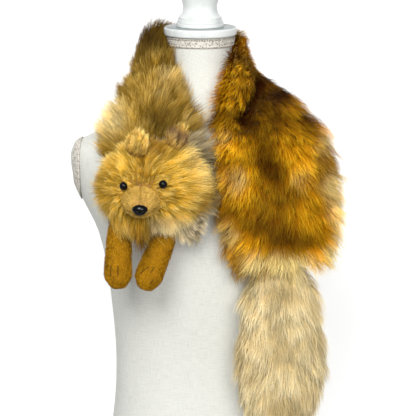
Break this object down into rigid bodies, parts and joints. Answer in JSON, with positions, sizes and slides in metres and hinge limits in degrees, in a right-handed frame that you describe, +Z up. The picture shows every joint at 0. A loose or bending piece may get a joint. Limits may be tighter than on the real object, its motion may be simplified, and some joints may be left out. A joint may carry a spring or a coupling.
{
  "type": "faux fur fox scarf on a limbless dress form",
  "caption": "Plush fox scarf of long faux fur with head, forelegs and bushy tail, draped round the neck of a linen dress form.",
  "frame": {"origin": "centre of the dress form's flat base, on its centre line", "axes": "+Z up along the form's centre line, -Y is the front that the fox faces, +X is the form's left-hand side (the viewer's right)"},
  "size_m": [0.3985, 0.368, 0.785],
  "materials": {
    "linen": "fine plain-weave off-white linen, stretched smooth",
    "lace_tape": "narrow beige openwork tape",
    "white_paint": "white satin paint on a turned cap and finial",
    "fur_cream": "long cream faux fur",
    "fur_tan": "long tan faux fur with darker roots",
    "fur_ginger": "long amber-ginger faux fur with dark red-brown roots",
    "fur_gold": "long golden faux fur on the head",
    "short_pile": "short ochre plush pile",
    "black_gloss": "glossy black plastic eyes and nose"
  },
  "bodies": {
    "root": {"form_torso": "linen", "form_neck_trim": "lace_tape", "form_armhole_trim_left": "lace_tape", "form_armhole_trim_right": "lace_tape", "form_neck_cap": "white_paint", "form_finial": "white_paint", "chest_ruff": "fur_cream", "scarf_head_side": "fur_tan", "scarf_nape": "fur_tan", "scarf_tail_side": "fur_ginger", "tail": "fur_cream", "head": "fur_gold", "muzzle": "short_pile", "nose": "black_gloss", "eye_left": "black_gloss", "eye_right": "black_gloss", "ear_left": "fur_gold", "ear_right": "fur_gold", "foreleg_left": "short_pile", "foreleg_right": "short_pile"}
  },
  "joints": []
}
